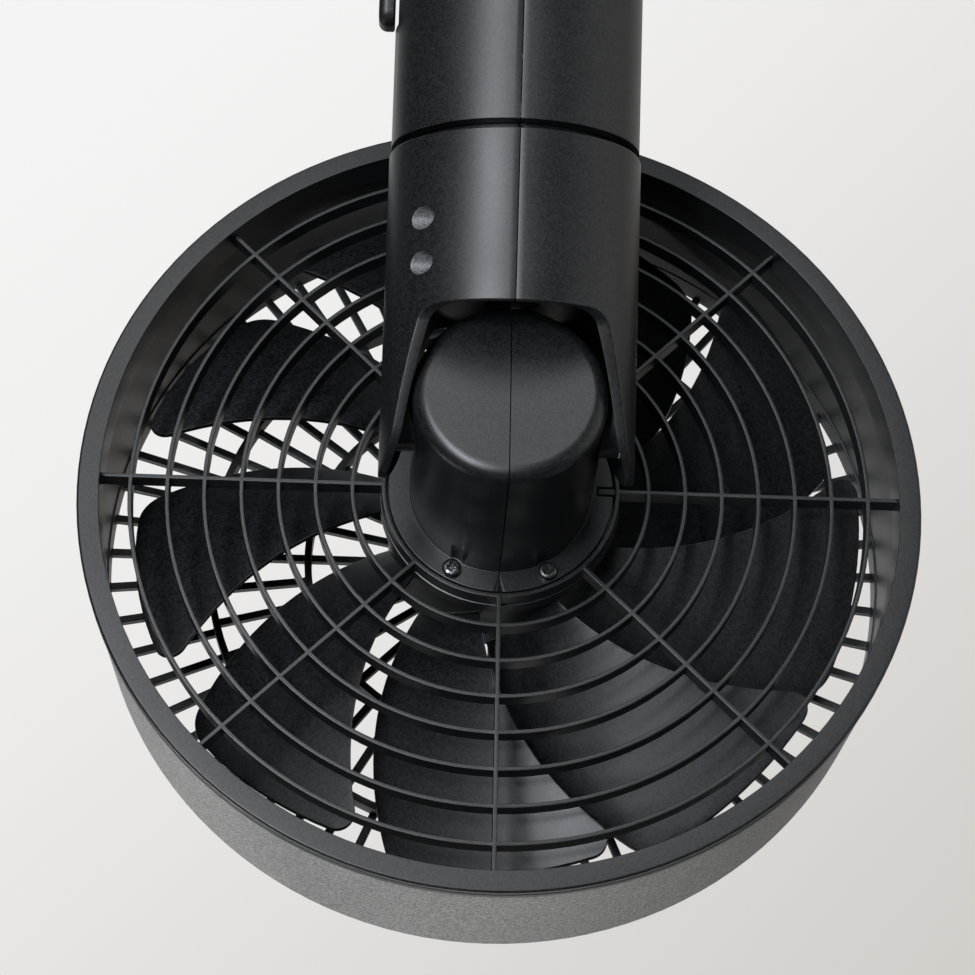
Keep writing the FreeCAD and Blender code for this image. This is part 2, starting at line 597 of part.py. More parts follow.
def tooth_flank(teeth, addendum):
    """Radii and half angles, in degrees, up one involute flank of a tooth."""
    pitch = GEAR_MODULE * teeth / 2
    pressure = math.radians(PRESSURE_ANGLE)
    base = pitch * math.cos(pressure)
    middle = math.pi / (2 * teeth) - BACKLASH / (4 * pitch) + math.tan(pressure) - pressure
    root, tip = pitch - TOOTH_DEDENDUM * GEAR_MODULE, pitch + addendum * GEAR_MODULE
    steps = [root, max(root, base), (pitch + base) / 2, pitch, (pitch + tip) / 2, tip]
    flank = []
    for radius in sorted(set(steps)):
        angle = math.acos(min(1.0, base / max(radius, base)))
        flank.append((radius, math.degrees(middle - (math.tan(angle) - angle))))
    return flank


def toothed(teeth, addendum, count, middle_angle, fill_radius, z0, z1):
    """A gear or gear sector whose middle tooth stands at an angle; the rest is a round of fill_radius."""
    flank = tooth_flank(teeth, addendum)
    pitch_angle = 360.0 / teeth
    points = []
    for i in range(count):
        centre = middle_angle + (i - (count - 1) / 2) * pitch_angle
        rising = [polar(r, centre - a) for r, a in flank]
        falling = [polar(r, centre + a) for r, a in reversed(flank)]
        points += rising + falling
    if count < teeth:
        points.append((0.0, 0.0))
    corners = [Vector(x, y, z0) for x, y in points]
    body = Part.Face(Part.makePolygon(corners + corners[:1])).extrude(Vector(0, 0, z1 - z0))
    return body.fuse(rod_z(fill_radius, z0, z1)).removeSplitter()


def swing_gear():
    hub = SPINDLE_RADIUS + GEAR_HUB_WALL
    gear = toothed(GEAR_TEETH, GEAR_ADDENDUM, SECTOR_TEETH, -90, hub, GEAR_FOOT, GEAR_TOP)
    return gear.cut(rod_z(SPINDLE_RADIUS, GEAR_FOOT, GEAR_TOP))


def swing_pinion():
    first_tooth = 90 + 180.0 / PINION_TEETH
    middle = first_tooth + (PINION_TEETH - 1) / 2 * 360.0 / PINION_TEETH
    fill = MOTOR_SHAFT_RADIUS
    gear = toothed(PINION_TEETH, PINION_ADDENDUM, PINION_TEETH, middle, fill, GEAR_FOOT, GEAR_TOP)
    shaft = rod_z(MOTOR_SHAFT_RADIUS, GEAR_TOP, BRACKET_TOP + MOTOR_SHAFT_INSIDE - AXIAL_PLAY)
    pinion = gear.fuse(shaft).removeSplitter()
    pinion.translate(Vector(0, PINION_Y, 0))
    return pinion


def swing_bracket():
    plate = rod_z(HOUSING_BORE - SLIP, BRACKET_FOOT, BRACKET_TOP)
    plate = plate.cut(rod_z(WIRE_HOLE_RADIUS, BRACKET_FOOT, BRACKET_TOP))
    return plate.cut(rod_z(MOTOR_NOSE_RADIUS + SLIP, BRACKET_FOOT, BRACKET_TOP, 0, PINION_Y))


def swing_motor():
    top = BRACKET_TOP + MOTOR_HEIGHT
    can = rod_z(MOTOR_RADIUS, BRACKET_TOP, top, 0, MOTOR_Y)
    span, width = MOTOR_EAR_SPAN / 2, MOTOR_EAR_WIDTH / 2
    ears = box(-span, span, MOTOR_Y - width, MOTOR_Y + width, BRACKET_TOP, BRACKET_TOP + MOTOR_EAR_THICKNESS)
    nose = rod_z(MOTOR_NOSE_RADIUS, BRACKET_FOOT, BRACKET_TOP, 0, PINION_Y)
    bore_top = BRACKET_TOP + MOTOR_SHAFT_INSIDE
    bore = rod_z(MOTOR_SHAFT_RADIUS + RUNNING, BRACKET_FOOT, bore_top, 0, PINION_Y)
    return can.fuse([ears, nose]).cut(bore).removeSplitter()


def control_board():
    width = BOARD_HALF_WIDTH
    return box(-width, width, BOARD_Y, BOARD_Y + BOARD_THICKNESS, BRACKET_TOP, BOARD_TOP)


def board_parts():
    row = BOARD_TOP - BOARD_CAN_DROP
    low = BRACKET_TOP + BOARD_BLOCK_RISE
    back = BOARD_Y - BOARD_CAN_LENGTH
    cans = [
        Part.makeCylinder(BOARD_CAN_RADIUS, BOARD_CAN_LENGTH, Vector(x, back, row), Y_AXIS)
        for x in (-BOARD_CAN_X, BOARD_CAN_X)
    ]
    side = BOARD_BLOCK / 2
    block = box(-side, side, back, BOARD_Y, low - side, low + side)
    return Part.makeCompound(cans + [block])


# Yoke: a cylinder cut to an arch with two arms, split down the middle
def arch_corner(side, rise):
    """Points of the arch's rounded corner, and where the arm's edge meets the arm's end circle."""
    corner = Vector(0, side * ARCH_HALF_WIDTH, rise)
    distance = math.hypot(ARCH_HALF_WIDTH, rise)
    lean = math.atan2(rise, ARCH_HALF_WIDTH) - math.acos(ARM_END_RADIUS / distance)
    touch = Vector(0, side * ARM_END_RADIUS * math.cos(lean), ARM_END_RADIUS * math.sin(lean))
    outward = Vector(0, side, 0)
    along = (touch - corner).normalize()
    turn = outward.getAngle(along)
    inward = (outward + along).normalize()
    centre = corner + inward * (ARCH_CORNER / math.sin(turn / 2))
    tangent = ARCH_CORNER / math.tan(turn / 2)
    return corner + outward * tangent, centre - inward * ARCH_CORNER, corner + along * tangent, touch


def yoke_profile():
    """The yoke seen from the side, as a solid right across it."""
    top = PIVOT_DROP + LIP_HEIGHT
    front, front_mid, front_arm, front_touch = arch_corner(-1, ARCH_RISE_FRONT)
    back, back_mid, back_arm, back_touch = arch_corner(1, ARCH_RISE_BACK)
    far_front, far_back = Vector(0, -FAR, front.z), Vector(0, FAR, back.z)
    edges = [
        Part.makeLine(Vector(0, -FAR, top), far_front),
        Part.makeLine(far_front, front),
        Part.Arc(front, front_mid, front_arm).toShape(),
        Part.makeLine(front_arm, front_touch),
        Part.Arc(front_touch, Vector(0, 0, -ARM_END_RADIUS), back_touch).toShape(),
        Part.makeLine(back_touch, back_arm),
        Part.Arc(back_arm, back_mid, back).toShape(),
        Part.makeLine(back, far_back),
        Part.makeLine(far_back, Vector(0, FAR, top)),
        Part.makeLine(Vector(0, FAR, top), Vector(0, -FAR, top)),
    ]
    side = Part.Face(Part.Wire(edges))
    side.translate(Vector(-FAR / 2, 0, 0))
    return side.extrude(Vector(FAR, 0, 0))


def yoke_screw_places():
    low = FLOOR_RISE + YOKE_SCREW_RISE
    return [(y, rise) for y in (YOKE_SCREW_Y, -YOKE_SCREW_Y) for rise in (low, low + YOKE_SCREW_PITCH)]


def yoke_shells():
    top = YOKE_TOP - PIVOT_Z
    collar_top = LIP_TOP - PIVOT_Z - AXIAL_PLAY
    shell = tube_z(YOKE_RADIUS, YOKE_BORE, -ARM_END_RADIUS, top).common(yoke_profile())
    roof = rod_z(YOKE_RADIUS, top - YOKE_TOP_THICKNESS, top)
    floor_top = FLOOR_RISE + YOKE_FLOOR_THICKNESS
    floor = rod_z(YOKE_RADIUS, FLOOR_RISE, floor_top)
    collar = rod_z(HOUSING_BORE - LIP_WIDTH - COLLAR_GAP, top - YOKE_TOP_THICKNESS, collar_top)
    inner = rod_z(YOKE_BORE + YOKE_WALL / 2, -ARM_END_RADIUS, top)
    pads = [rod_x(PAD_RADIUS, PAD_FACE, FAR), rod_x(PAD_RADIUS, -FAR, -PAD_FACE)]
    bosses = [rod_x(YOKE_BOSS_RADIUS, -FAR, FAR, y, rise) for y, rise in yoke_screw_places()]
    shell = shell.fuse([piece.common(inner) for piece in pads + bosses])
    shell = shell.fuse([roof, floor, collar])
    shell = shell.cut(rod_z(SPINDLE_RADIUS + SLIP, top - YOKE_TOP_THICKNESS, collar_top))
    shell = shell.cut(rod_z(WIRE_HOLE_RADIUS, FLOOR_RISE, floor_top))
    shell = shell.cut(rod_x(BUSH_OUTER, -BUSH_END, BUSH_END))
    for y, rise in yoke_screw_places():
        shell = shell.cut(rod_x(COUNTERBORE_RADIUS, YOKE_SCREW_SEAT, FAR, y, rise))
        shell = shell.cut(rod_x(SCREW_HOLE_RADIUS, 0, YOKE_SCREW_SEAT, y, rise))
        shell = shell.cut(rod_x(SCREW_RADIUS, YOKE_SCREW_SEAT - YOKE_SCREW_LENGTH, 0, y, rise))
    shell = shell.removeSplitter()
    shell.translate(Vector(0, 0, PIVOT_Z))
    return half(shell, 1), half(shell, -1)


def yoke_screws():
    one = screw(YOKE_SCREW_LENGTH)
    return Part.makeCompound(
        [aimed(one, (YOKE_SCREW_SEAT, y, PIVOT_Z + rise), (-1, 0, 0)) for y, rise in yoke_screw_places()]
    )


def tilt_bush(side):
    bush = rod_x(BUSH_OUTER, PAD_FACE, BUSH_END).cut(rod_x(TILT_PIN_RADIUS + RUNNING, PAD_FACE, BUSH_END))
    return at_pivot(bush, side)


def at_pivot(shape, side):
    """A pivot piece on the +X side, or its mirror image, at the pivot's height."""
    placed = shape if side > 0 else shape.mirror(ORIGIN, X_AXIS)
    placed.translate(Vector(0, 0, PIVOT_Z))
    return placed


# Head: motor cover, pivot pins and washers
def cover_screw_places():
    angles = [v + t for v in (90, -90) for t in (COVER_SCREW_ANGLE, -COVER_SCREW_ANGLE)]
    return [polar(COVER_SCREW_CIRCLE, a) for a in angles]


def motor_covers():
    cap, wall = -COVER_END, COVER_WALL
    body = rod_head(COVER_RADIUS, cap, FLANGE_FRONT)
    rims = [e for e in body.Edges if abs(e.CenterOfMass.y - depth(cap)) < SLIP and e.Closed]
    body = body.makeFillet(COVER_FILLET, rims)
    hollow = rod_head(COVER_BORE, cap + wall, FLANGE_FRONT)
    ends = [e for e in hollow.Edges if abs(e.CenterOfMass.y - depth(cap + wall)) < SLIP and e.Closed]
    hollow = hollow.makeFillet(COVER_FILLET - wall, ends)
    body = body.fuse(rod_head(FLANGE_RADIUS, FLANGE_DEPTH, FLANGE_FRONT))
    body = body.fuse(rod_x(TILT_BOSS_RADIUS, -BOSS_END, BOSS_END)).cut(hollow)
    inner = rod_head(COVER_BORE, cap + wall, FLANGE_FRONT)
    boss = rod_x(TILT_PIN_RADIUS + wall, TILT_PIN_START, BOSS_END).common(inner)
    body = body.fuse([boss, boss.mirror(ORIGIN, X_AXIS)])
    body = body.cut(rod_x(TILT_PIN_RADIUS, -FAR, FAR))
    flute_end = FLANGE_DEPTH - FLUTE_LENGTH
    for x, z in cover_screw_places():
        body = body.cut(rod_head(SCREW_HOLE_RADIUS, FLANGE_DEPTH, FLANGE_FRONT, x, z))
        body = body.cut(rod_head(FLUTE_RADIUS, flute_end, FLANGE_DEPTH, x, z))
        body = body.cut(Part.makeSphere(FLUTE_RADIUS, Vector(x, depth(flute_end), z)))
    notch = KEY_NOTCH_WIDTH / 2
    edge = KEY_NOTCH_DEPTH - FLANGE_RADIUS
    body = body.cut(box(-FAR, edge, depth(FLANGE_FRONT), depth(FLANGE_DEPTH), -notch, notch))
    body = body.removeSplitter()
    return on_head(half(body, 1)), on_head(half(body, -1))


def cover_screws():
    one = screw(COVER_SCREW_LENGTH)
    seat = depth(FLANGE_DEPTH)
    screws = [aimed(one, (x, seat, z), (0, -1, 0)) for x, z in cover_screw_places()]
    return on_head(Part.makeCompound(screws))


def tilt_pin(side):
    return at_pivot(rod_x(TILT_PIN_RADIUS, TILT_PIN_START, TILT_PIN_END), side)


def tilt_washer(side):
    thick = TILT_WASHER - RUNNING
    washer = rod_x(TILT_BOSS_RADIUS, BOSS_END, BOSS_END + thick)
    return at_pivot(washer.cut(rod_x(TILT_PIN_RADIUS, BOSS_END, BOSS_END + thick)), side)


# Grilles: flat faces with an opening between each pair of bars and rings
def opening(inner, outer, start, stop, width):
    """A wire round one gap between two radial bars of a width, at two radii."""
    offset = width / 2

    def corner(radius, angle, side):
        along = math.sqrt(radius ** 2 - offset ** 2)
        turn = math.radians(angle)
        x = along * math.cos(turn) - side * offset * math.sin(turn)
        z = along * math.sin(turn) + side * offset * math.cos(turn)
        return Vector(x, 0, z)

    def middle(radius):
        x, z = polar(radius, (start + stop) / 2)
        return Vector(x, 0, z)

    a, b = corner(inner, start, 1), corner(outer, start, 1)
    c, d = corner(outer, stop, -1), corner(inner, stop, -1)
    return Part.Wire([
        Part.makeLine(a, b),
        Part.Arc(b, middle(outer), c).toShape(),
        Part.makeLine(c, d),
        Part.Arc(d, middle(inner), a).toShape(),
    ])


def barred_plate(outer, bore, openings, s0, s1):
    """A flat plate with openings, from depth s0 to s1."""
    wires = [Part.Wire(Part.makeCircle(outer, ORIGIN, Y_AXIS))]
    if bore > 0:
        wires.append(Part.Wire(Part.makeCircle(bore, ORIGIN, Y_AXIS)))
    face = Part.makeFace(wires + openings, "Part::FaceMakerBullseye")
    face.translate(Vector(0, depth(s0), 0))
    return face.extrude(Vector(0, s0 - s1, 0))


def rear_grille():
    half_rib = RIB_WIDTH / 2
    rings = [RING_FIRST + i * RING_PITCH for i in range(RINGS)]
    inner_radii = [HUB_RING_RADIUS] + [r + half_rib for r in rings]
    outer_radii = [r - half_rib for r in rings] + [RIM_INNER]
    step = 360.0 / SPOKES
    gaps = [
        opening(a, b, i * step, (i + 1) * step, RIB_WIDTH)
        for a, b in zip(inner_radii, outer_radii)
        for i in range(SPOKES)
    ]
    ribs = barred_plate(RIM_INNER + RIM_COLLAR_WALL / 2, HUB_RING_BORE, gaps, RIB_BACK, RIB_BACK + RIB_DEPTH)
    waist = RIM_RADIUS - RIM_GROOVE_DEPTH
    rim = turned([
        (RIM_INNER, 0),
        (RIM_RADIUS - RIM_CHAMFER, 0),
        (RIM_RADIUS, RIM_CHAMFER),
        (RIM_RADIUS, RIM_PLATE),
        (waist, RIM_PLATE),
        (waist, RIM_PLATE + RIM_GROOVE),
        (RIM_RADIUS, RIM_PLATE + RIM_GROOVE),
        (RIM_RADIUS, RIM_FRONT),
        (RIM_COLLAR_RADIUS, RIM_FRONT),
        (RIM_COLLAR_RADIUS, RIM_FRONT + RIM_COLLAR_LENGTH),
        (RIM_INNER, RIM_FRONT + RIM_COLLAR_LENGTH),
    ])
    hub = tube_head(HUB_RING_RADIUS, HUB_RING_BORE, RIB_BACK, HUB_RING_FRONT)
    plate = tube_head(HUB_RING_RADIUS, HUB_PLATE_BORE, FLANGE_FRONT, HUB_PLATE_FRONT)
    shoulder = tube_head(HUB_RING_RADIUS + HUB_RING_STEP, HUB_RING_BORE, HUB_PLATE_FRONT, HUB_RING_FRONT)
    key_side = KEY_NOTCH_WIDTH / 2 - KEY_FIT
    key_x = KEY_NOTCH_DEPTH - KEY_FIT - FLANGE_RADIUS
    key = box(-HUB_RING_RADIUS, key_x, depth(FLANGE_FRONT), depth(FLANGE_DEPTH), -key_side, key_side)
    key = key.common(rod_head(HUB_RING_RADIUS, FLANGE_DEPTH, FLANGE_FRONT))
    grille = ribs.fuse([rim, hub, shoulder, plate, key])
    for x, z in cover_screw_places():
        grille = grille.cut(rod_head(SCREW_HOLE_RADIUS, FLANGE_FRONT, HUB_PLATE_FRONT, x, z))
    return on_head(grille.removeSplitter())


def shroud():
    parting = RIM_FRONT + SHROUD_PARTING
    lip = SHROUD_BACK_RADIUS - SHROUD_PARTING_DEPTH
    return on_head(turned([
        (SHROUD_BORE, RIM_FRONT),
        (lip, RIM_FRONT),
        (lip, parting),
        (SHROUD_BACK_RADIUS, parting),
        (SHROUD_FRONT_RADIUS, DRUM_DEPTH - SHROUD_FRONT_ROUND),
        (SHROUD_FRONT_RADIUS - SHROUD_FRONT_ROUND, DRUM_DEPTH),
        (SHROUD_REBATE_RADIUS, DRUM_DEPTH),
        (SHROUD_REBATE_RADIUS, FRONT_RIM_BACK),
        (SHROUD_BORE, FRONT_RIM_BACK),
    ]))


def front_grille():
    radii = [FRONT_RIM_BORE - inset for inset in FRONT_RING_INSETS]
    half_ring = FRONT_RING_WIDTH / 2
    starts = [FRONT_HUB_RADIUS] + [r + half_ring for r in radii]
    stops = [r - half_ring for r in radii] + [FRONT_RIM_BORE]
    gaps = []
    for a, b, count in zip(starts, stops, FRONT_BAR_COUNTS):
        step = 360.0 / count
        gaps += [opening(a, b, i * step, (i + 1) * step, FRONT_BAR_WIDTH) for i in range(count)]
    bars = barred_plate(FRONT_RIM_BORE + FRONT_RIM_WALL / 2, 0, gaps, FRONT_BAR_BACK, FRONT_BAR_FRONT)
    rim = tube_head(FRONT_RIM_RADIUS, FRONT_RIM_BORE, FRONT_RIM_BACK, FRONT_BAR_FRONT)
    ring_back = FRONT_BAR_BACK - FRONT_RING_DEPTH
    rings = [tube_head(r + half_ring, r - half_ring, ring_back, FRONT_BAR_BACK) for r in radii]
    hub = rod_head(FRONT_HUB_RADIUS, FRONT_BAR_BACK, FRONT_BAR_FRONT)
    return on_head(bars.fuse([rim, hub] + rings).removeSplitter())


def front_cap():
    front = FRONT_BAR_FRONT + FRONT_CAP_THICKNESS
    disc = rod_head(FRONT_HUB_RADIUS - FRONT_CAP_INSET, FRONT_BAR_FRONT, front)
    edge = [e for e in disc.Edges if e.Closed and abs(e.CenterOfMass.y - depth(front)) < SLIP]
    return on_head(disc.makeFillet(FRONT_CAP_ROUND, edge))


# Impeller: swept blades cut from a helical sheet by their outline
def lead_angle(radius):
    return BLADE_PHASE - BLADE_SWEEP * (radius - HUB_RADIUS)


def blade_sheet(root, tip):
    """A helical sheet wider and longer than the blade, as thick as the blade along the axis."""
    grid = []
    for i in range(BLADE_ROWS):
        radius = root + (tip - root) * i / (BLADE_ROWS - 1)
        row = []
        for j in range(BLADE_COLUMNS):
            share = (1 + 2 * BLADE_OVERRUN) * j / (BLADE_COLUMNS - 1) - BLADE_OVERRUN
            x, z = polar(radius, lead_angle(radius) + BLADE_SPAN * share)
            bulge = 4 * BLADE_CAMBER * share * (1 - share)
            row.append(Vector(x, depth(BLADE_START + BLADE_DEPTH * share - bulge), z))
        grid.append(row)
    sheet = Part.BSplineSurface()
    sheet.interpolate(grid)
    return sheet.toShape().extrude(Vector(0, -BLADE_THICKNESS, 0))


def spiral(root, tip, lag):
    """The leading edge, turned back by an angle, as seen along the axis."""
    points = []
    for i in range(EDGE_POINTS):
        radius = root + (tip - root) * i / (EDGE_POINTS - 1)
        x, z = polar(radius, lead_angle(radius) + lag)
        points.append(Vector(x, 0, z))
    curve = Part.BSplineCurve()
    curve.interpolate(points)
    return curve.toShape(), points[0], points[-1]


def over(edge, corner):
    middle = edge.CenterOfMass
    return math.hypot(middle.x - corner.x, middle.z - corner.z) < SLIP


def blade_outline(root, tip):
    lead, lead_root, lead_tip = spiral(root, tip, 0)
    trail, trail_root, trail_tip = spiral(root, tip, BLADE_SPAN)
    x, z = polar(tip, lead_angle(tip) + BLADE_SPAN / 2)
    tip_arc = Part.Arc(lead_tip, Vector(x, 0, z), trail_tip).toShape()
    outline = Part.Face(Part.Wire([lead, tip_arc, trail, Part.makeLine(trail_root, lead_root)]))
    outline.translate(Vector(0, depth(BLADE_START - BLADE_DEPTH), 0))
    prism = outline.extrude(Vector(0, -3 * BLADE_DEPTH, 0))
    for corner, radius in ((lead_tip, BLADE_LEAD_ROUND), (trail_tip, BLADE_TRAIL_ROUND)):
        edges = [e for e in prism.Edges if over(e, corner) and e.Length > 2 * BLADE_DEPTH]
        prism = prism.makeFillet(radius, edges)
    return prism


def impeller():
    root = HUB_RADIUS - HUB_WALL / 2
    sheet = blade_sheet(root - BLADE_THICKNESS / 2, BLADE_TIP_RADIUS + BLADE_THICKNESS)
    blade = sheet.common(blade_outline(root, BLADE_TIP_RADIUS))
    hub = rod_head(HUB_RADIUS, HUB_START, IMPELLER_FRONT)
    hub = hub.cut(rod_head(ROTOR_RADIUS, HUB_START, ROTOR_END))
    hub = hub.cut(rod_head(SHAFT_RADIUS, ROTOR_END, IMPELLER_FRONT))
    blades = []
    for i in range(BLADES):
        copy = blade.copy()
        copy.rotate(ORIGIN, Y_AXIS, i * 360.0 / BLADES)
        blades.append(copy)
    return on_head(hub.fuse(blades).removeSplitter())


def impeller_nut():
    sides = [polar(SHAFT_RADIUS + NUT_WALL, 60 * i) for i in range(6)]
    corners = [Vector(x, depth(IMPELLER_FRONT), z) for x, z in sides]
    nut = Part.Face(Part.makePolygon(corners + corners[:1])).extrude(Vector(0, -NUT_LENGTH, 0))
    return on_head(nut.cut(rod_head(SHAFT_RADIUS, IMPELLER_FRONT, NUT_FRONT - NUT_CAP)))


# Motor: bracket with bearing tube, stator, windings, driver board and rotor
def motor_bracket():
    plate = rod_head(FLANGE_RADIUS, HUB_PLATE_FRONT, MOTOR_PLATE_FRONT)
    tube = rod_head(BEARING_TUBE_RADIUS, MOTOR_PLATE_FRONT, BEARING_TUBE_END)
    bracket = plate.fuse(tube).cut(rod_head(BEARING_RADIUS, HUB_PLATE_FRONT, BEARING_TUBE_END))
    for x, z in cover_screw_places():
        bracket = bracket.cut(rod_head(SCREW_RADIUS, HUB_PLATE_FRONT, MOTOR_PLATE_FRONT, x, z))
    return on_head(bracket.removeSplitter())


def bearing(back):
    return on_head(tube_head(BEARING_RADIUS, SHAFT_RADIUS + RUNNING, back, back + BEARING_WIDTH))


def stator_core():
    s0, s1 = STATOR_START, STATOR_START + STATOR_LENGTH
    core = tube_head(BEARING_TUBE_RADIUS + STATOR_YOKE, BEARING_TUBE_RADIUS, s0, s1)
    shoes = tube_head(STATOR_RADIUS, STATOR_RADIUS - STATOR_SHOE, s0, s1)
    tooth = STATOR_TOOTH / 2
    inner = BEARING_TUBE_RADIUS + STATOR_YOKE / 2
    for i in range(STATOR_TEETH):
        arm = box(inner, STATOR_RADIUS - STATOR_SHOE / 2, depth(s1), depth(s0), -tooth, tooth)
        slot = box(inner, FAR, depth(s1), depth(s0), -STATOR_SLOT / 2, STATOR_SLOT / 2)
        arm.rotate(ORIGIN, Y_AXIS, i * 360.0 / STATOR_TEETH)
        slot.rotate(ORIGIN, Y_AXIS, (i + 0.5) * 360.0 / STATOR_TEETH)
        core = core.fuse(arm)
        shoes = shoes.cut(slot)
    return on_head(core.fuse(shoes).removeSplitter())


def stator_windings():
    """One wrapped bundle round each stator tooth."""
    s0, s1 = STATOR_START, STATOR_START + STATOR_LENGTH
    middle = (BEARING_TUBE_RADIUS + STATOR_YOKE + STATOR_RADIUS - STATOR_SHOE) / 2
    x0, x1 = middle - WINDING_LENGTH / 2, middle + WINDING_LENGTH / 2
    tooth = STATOR_TOOTH / 2
    side = tooth + WINDING_THICKNESS
    outer = box(x0, x1, depth(s1 + WINDING_OVERHANG), depth(s0 - WINDING_OVERHANG), -side, side)
    along = [e for e in outer.Edges if abs(e.Length - WINDING_LENGTH) < SLIP]
    coil = outer.makeFillet(WINDING_THICKNESS, along).cut(box(x0, x1, depth(s1), depth(s0), -tooth, tooth))
    coils = []
    for i in range(STATOR_TEETH):
        copy = coil.copy()
        copy.rotate(ORIGIN, Y_AXIS, i * 360.0 / STATOR_TEETH)
        coils.append(copy)
    return on_head(Part.makeCompound(coils))


def motor_board():
    return on_head(tube_head(DRIVER_RADIUS, DRIVER_BORE, HUB_PLATE_FRONT - DRIVER_THICKNESS, HUB_PLATE_FRONT))


def motor_board_chips():
    back = HUB_PLATE_FRONT - DRIVER_THICKNESS
    radius = (DRIVER_RADIUS + DRIVER_BORE) / 2
    side = DRIVER_CHIP / 2
    chip = box(radius - side, radius + side, depth(back), depth(back - DRIVER_CHIP_HEIGHT), -side, side)
    chips = []
    for i in range(DRIVER_CHIPS):
        copy = chip.copy()
        copy.rotate(ORIGIN, Y_AXIS, 90 + i * 360.0 / DRIVER_CHIPS)
        chips.append(copy)
    return on_head(Part.makeCompound(chips))


def rotor_cup():
    cup = rod_head(ROTOR_RADIUS, HUB_START, ROTOR_END)
    cup = cup.cut(rod_head(MAGNET_OUTER, HUB_START, ROTOR_END - ROTOR_WALL))
    return on_head(cup.cut(rod_head(SHAFT_RADIUS, HUB_START, ROTOR_END)))


def rotor_magnet():
    back = STATOR_START + (STATOR_LENGTH - MAGNET_LENGTH) / 2
    return on_head(tube_head(MAGNET_OUTER, MAGNET_BORE, back, back + MAGNET_LENGTH))


def motor_shaft():
    return on_head(rod_head(SHAFT_RADIUS, SHAFT_BACK, NUT_FRONT - NUT_CAP))


def build():
    nodes["top_cap"] = top_cap()
    nodes["track_plug"] = track_plug()
    nodes["contact_blades"] = contact_blades()
    nodes["cap_screws"] = cap_screws()
    nodes["housing_shell_left"], nodes["housing_shell_right"] = housing_shells()
    nodes["lock_lever"] = lock_lever()
    nodes["lever_pin"] = lever_pin()
    nodes["lock_latch"] = lock_latch()
    nodes["swivel_plate"] = swivel_plate()
    nodes["swivel_bush"] = swivel_bush()
    nodes["swing_bracket"] = swing_bracket()
    nodes["swing_motor"] = swing_motor()
    nodes["swing_pinion"] = swing_pinion()
    nodes["control_board"] = control_board()
    nodes["board_parts"] = board_parts()
    nodes["swivel_spindle"] = swivel_spindle()
    nodes["spindle_ring"] = spindle_ring()
    nodes["swing_gear"] = swing_gear()
    nodes["yoke_shell_left"], nodes["yoke_shell_right"] = yoke_shells()
    nodes["yoke_screws"] = yoke_screws()
    for name, side in (("left", 1), ("right", -1)):
        nodes["tilt_bush_" + name] = tilt_bush(side)
        nodes["tilt_pin_" + name] = tilt_pin(side)
        nodes["tilt_washer_" + name] = tilt_washer(side)
    nodes["motor_cover_left"], nodes["motor_cover_right"] = motor_covers()
    nodes["cover_screws"] = cover_screws()
    nodes["rear_grille"] = rear_grille()
    nodes["shroud"] = shroud()
    nodes["front_grille"] = front_grille()
    nodes["front_cap"] = front_cap()
    nodes["motor_bracket"] = motor_bracket()
    nodes["bearing_rear"] = bearing(SHAFT_BACK)
    nodes["bearing_front"] = bearing(BEARING_TUBE_END - BEARING_WIDTH)
    nodes["stator_core"] = stator_core()
    nodes["stator_windings"] = stator_windings()
    nodes["motor_board"] = motor_board()
    nodes["motor_board_chips"] = motor_board_chips()
    nodes["rotor_cup"] = rotor_cup()
    nodes["rotor_magnet"] = rotor_magnet()
    nodes["motor_shaft"] = motor_shaft()
    nodes["impeller"] = impeller()
    nodes["impeller_nut"] = impeller_nut()


build()
os.makedirs("parts", exist_ok=True)
for name, shape in nodes.items():
    if not shape.isValid():
        raise ValueError(name + " isn't a valid solid")
    shape.exportStep("parts/" + name + ".step")
print(len(nodes), "pieces written")
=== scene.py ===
import json
import math

import bmesh
import bpy
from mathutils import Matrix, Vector


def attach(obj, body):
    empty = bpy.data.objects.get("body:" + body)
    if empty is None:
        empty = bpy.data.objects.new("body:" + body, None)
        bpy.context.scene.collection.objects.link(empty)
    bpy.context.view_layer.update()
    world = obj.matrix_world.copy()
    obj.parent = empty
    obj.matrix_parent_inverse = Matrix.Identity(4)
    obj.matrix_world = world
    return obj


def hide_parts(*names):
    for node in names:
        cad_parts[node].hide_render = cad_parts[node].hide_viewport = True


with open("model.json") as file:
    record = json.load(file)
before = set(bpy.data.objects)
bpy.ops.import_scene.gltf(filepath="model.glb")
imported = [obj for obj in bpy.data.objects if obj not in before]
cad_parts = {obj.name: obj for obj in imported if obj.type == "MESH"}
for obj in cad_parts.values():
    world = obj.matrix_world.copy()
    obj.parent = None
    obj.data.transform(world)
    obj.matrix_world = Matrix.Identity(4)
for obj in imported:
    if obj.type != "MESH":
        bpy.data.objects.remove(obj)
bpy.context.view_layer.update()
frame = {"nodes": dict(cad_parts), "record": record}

MM = 0.001

# Camera behind the fan, a little below the tilt pivot
CAMERA_PLACE = (0.023993, 0.687239, -0.293759)
CAMERA_TURN = (98.1367, -1.699, 178.196)
CAMERA_LENS = 88.615
CAMERA_SENSOR = 36
CAMERA_NEAREST = 0.01

